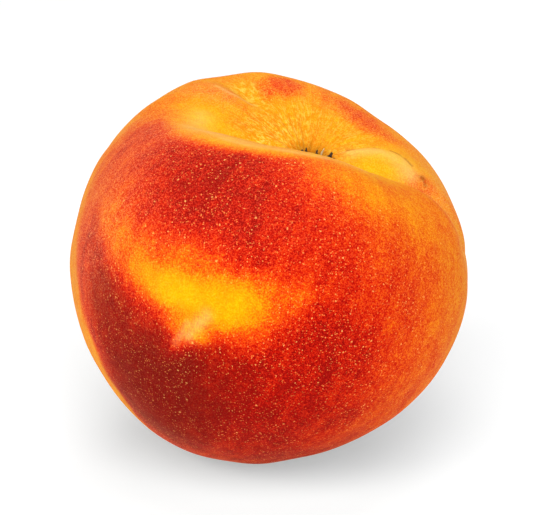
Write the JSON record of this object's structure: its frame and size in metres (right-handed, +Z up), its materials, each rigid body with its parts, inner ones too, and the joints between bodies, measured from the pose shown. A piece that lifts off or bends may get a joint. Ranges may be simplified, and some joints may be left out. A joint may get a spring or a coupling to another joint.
{
  "type": "peach",
  "caption": "Whole ripe peach with a deep stem cavity, a suture furrow and a red blush, resting on its own small flat.",
  "frame": {"origin": "middle of the small flat on the underside that the fruit rests on", "axes": "+Z up as the fruit lies, -Y towards the blushed front, +X towards the side that the stem cavity leans to"},
  "size_m": [0.0718, 0.0798, 0.0646],
  "materials": {
    "skin": "matte"
  },
  "bodies": {
    "root": {"peach": "skin"}
  },
  "joints": []
}
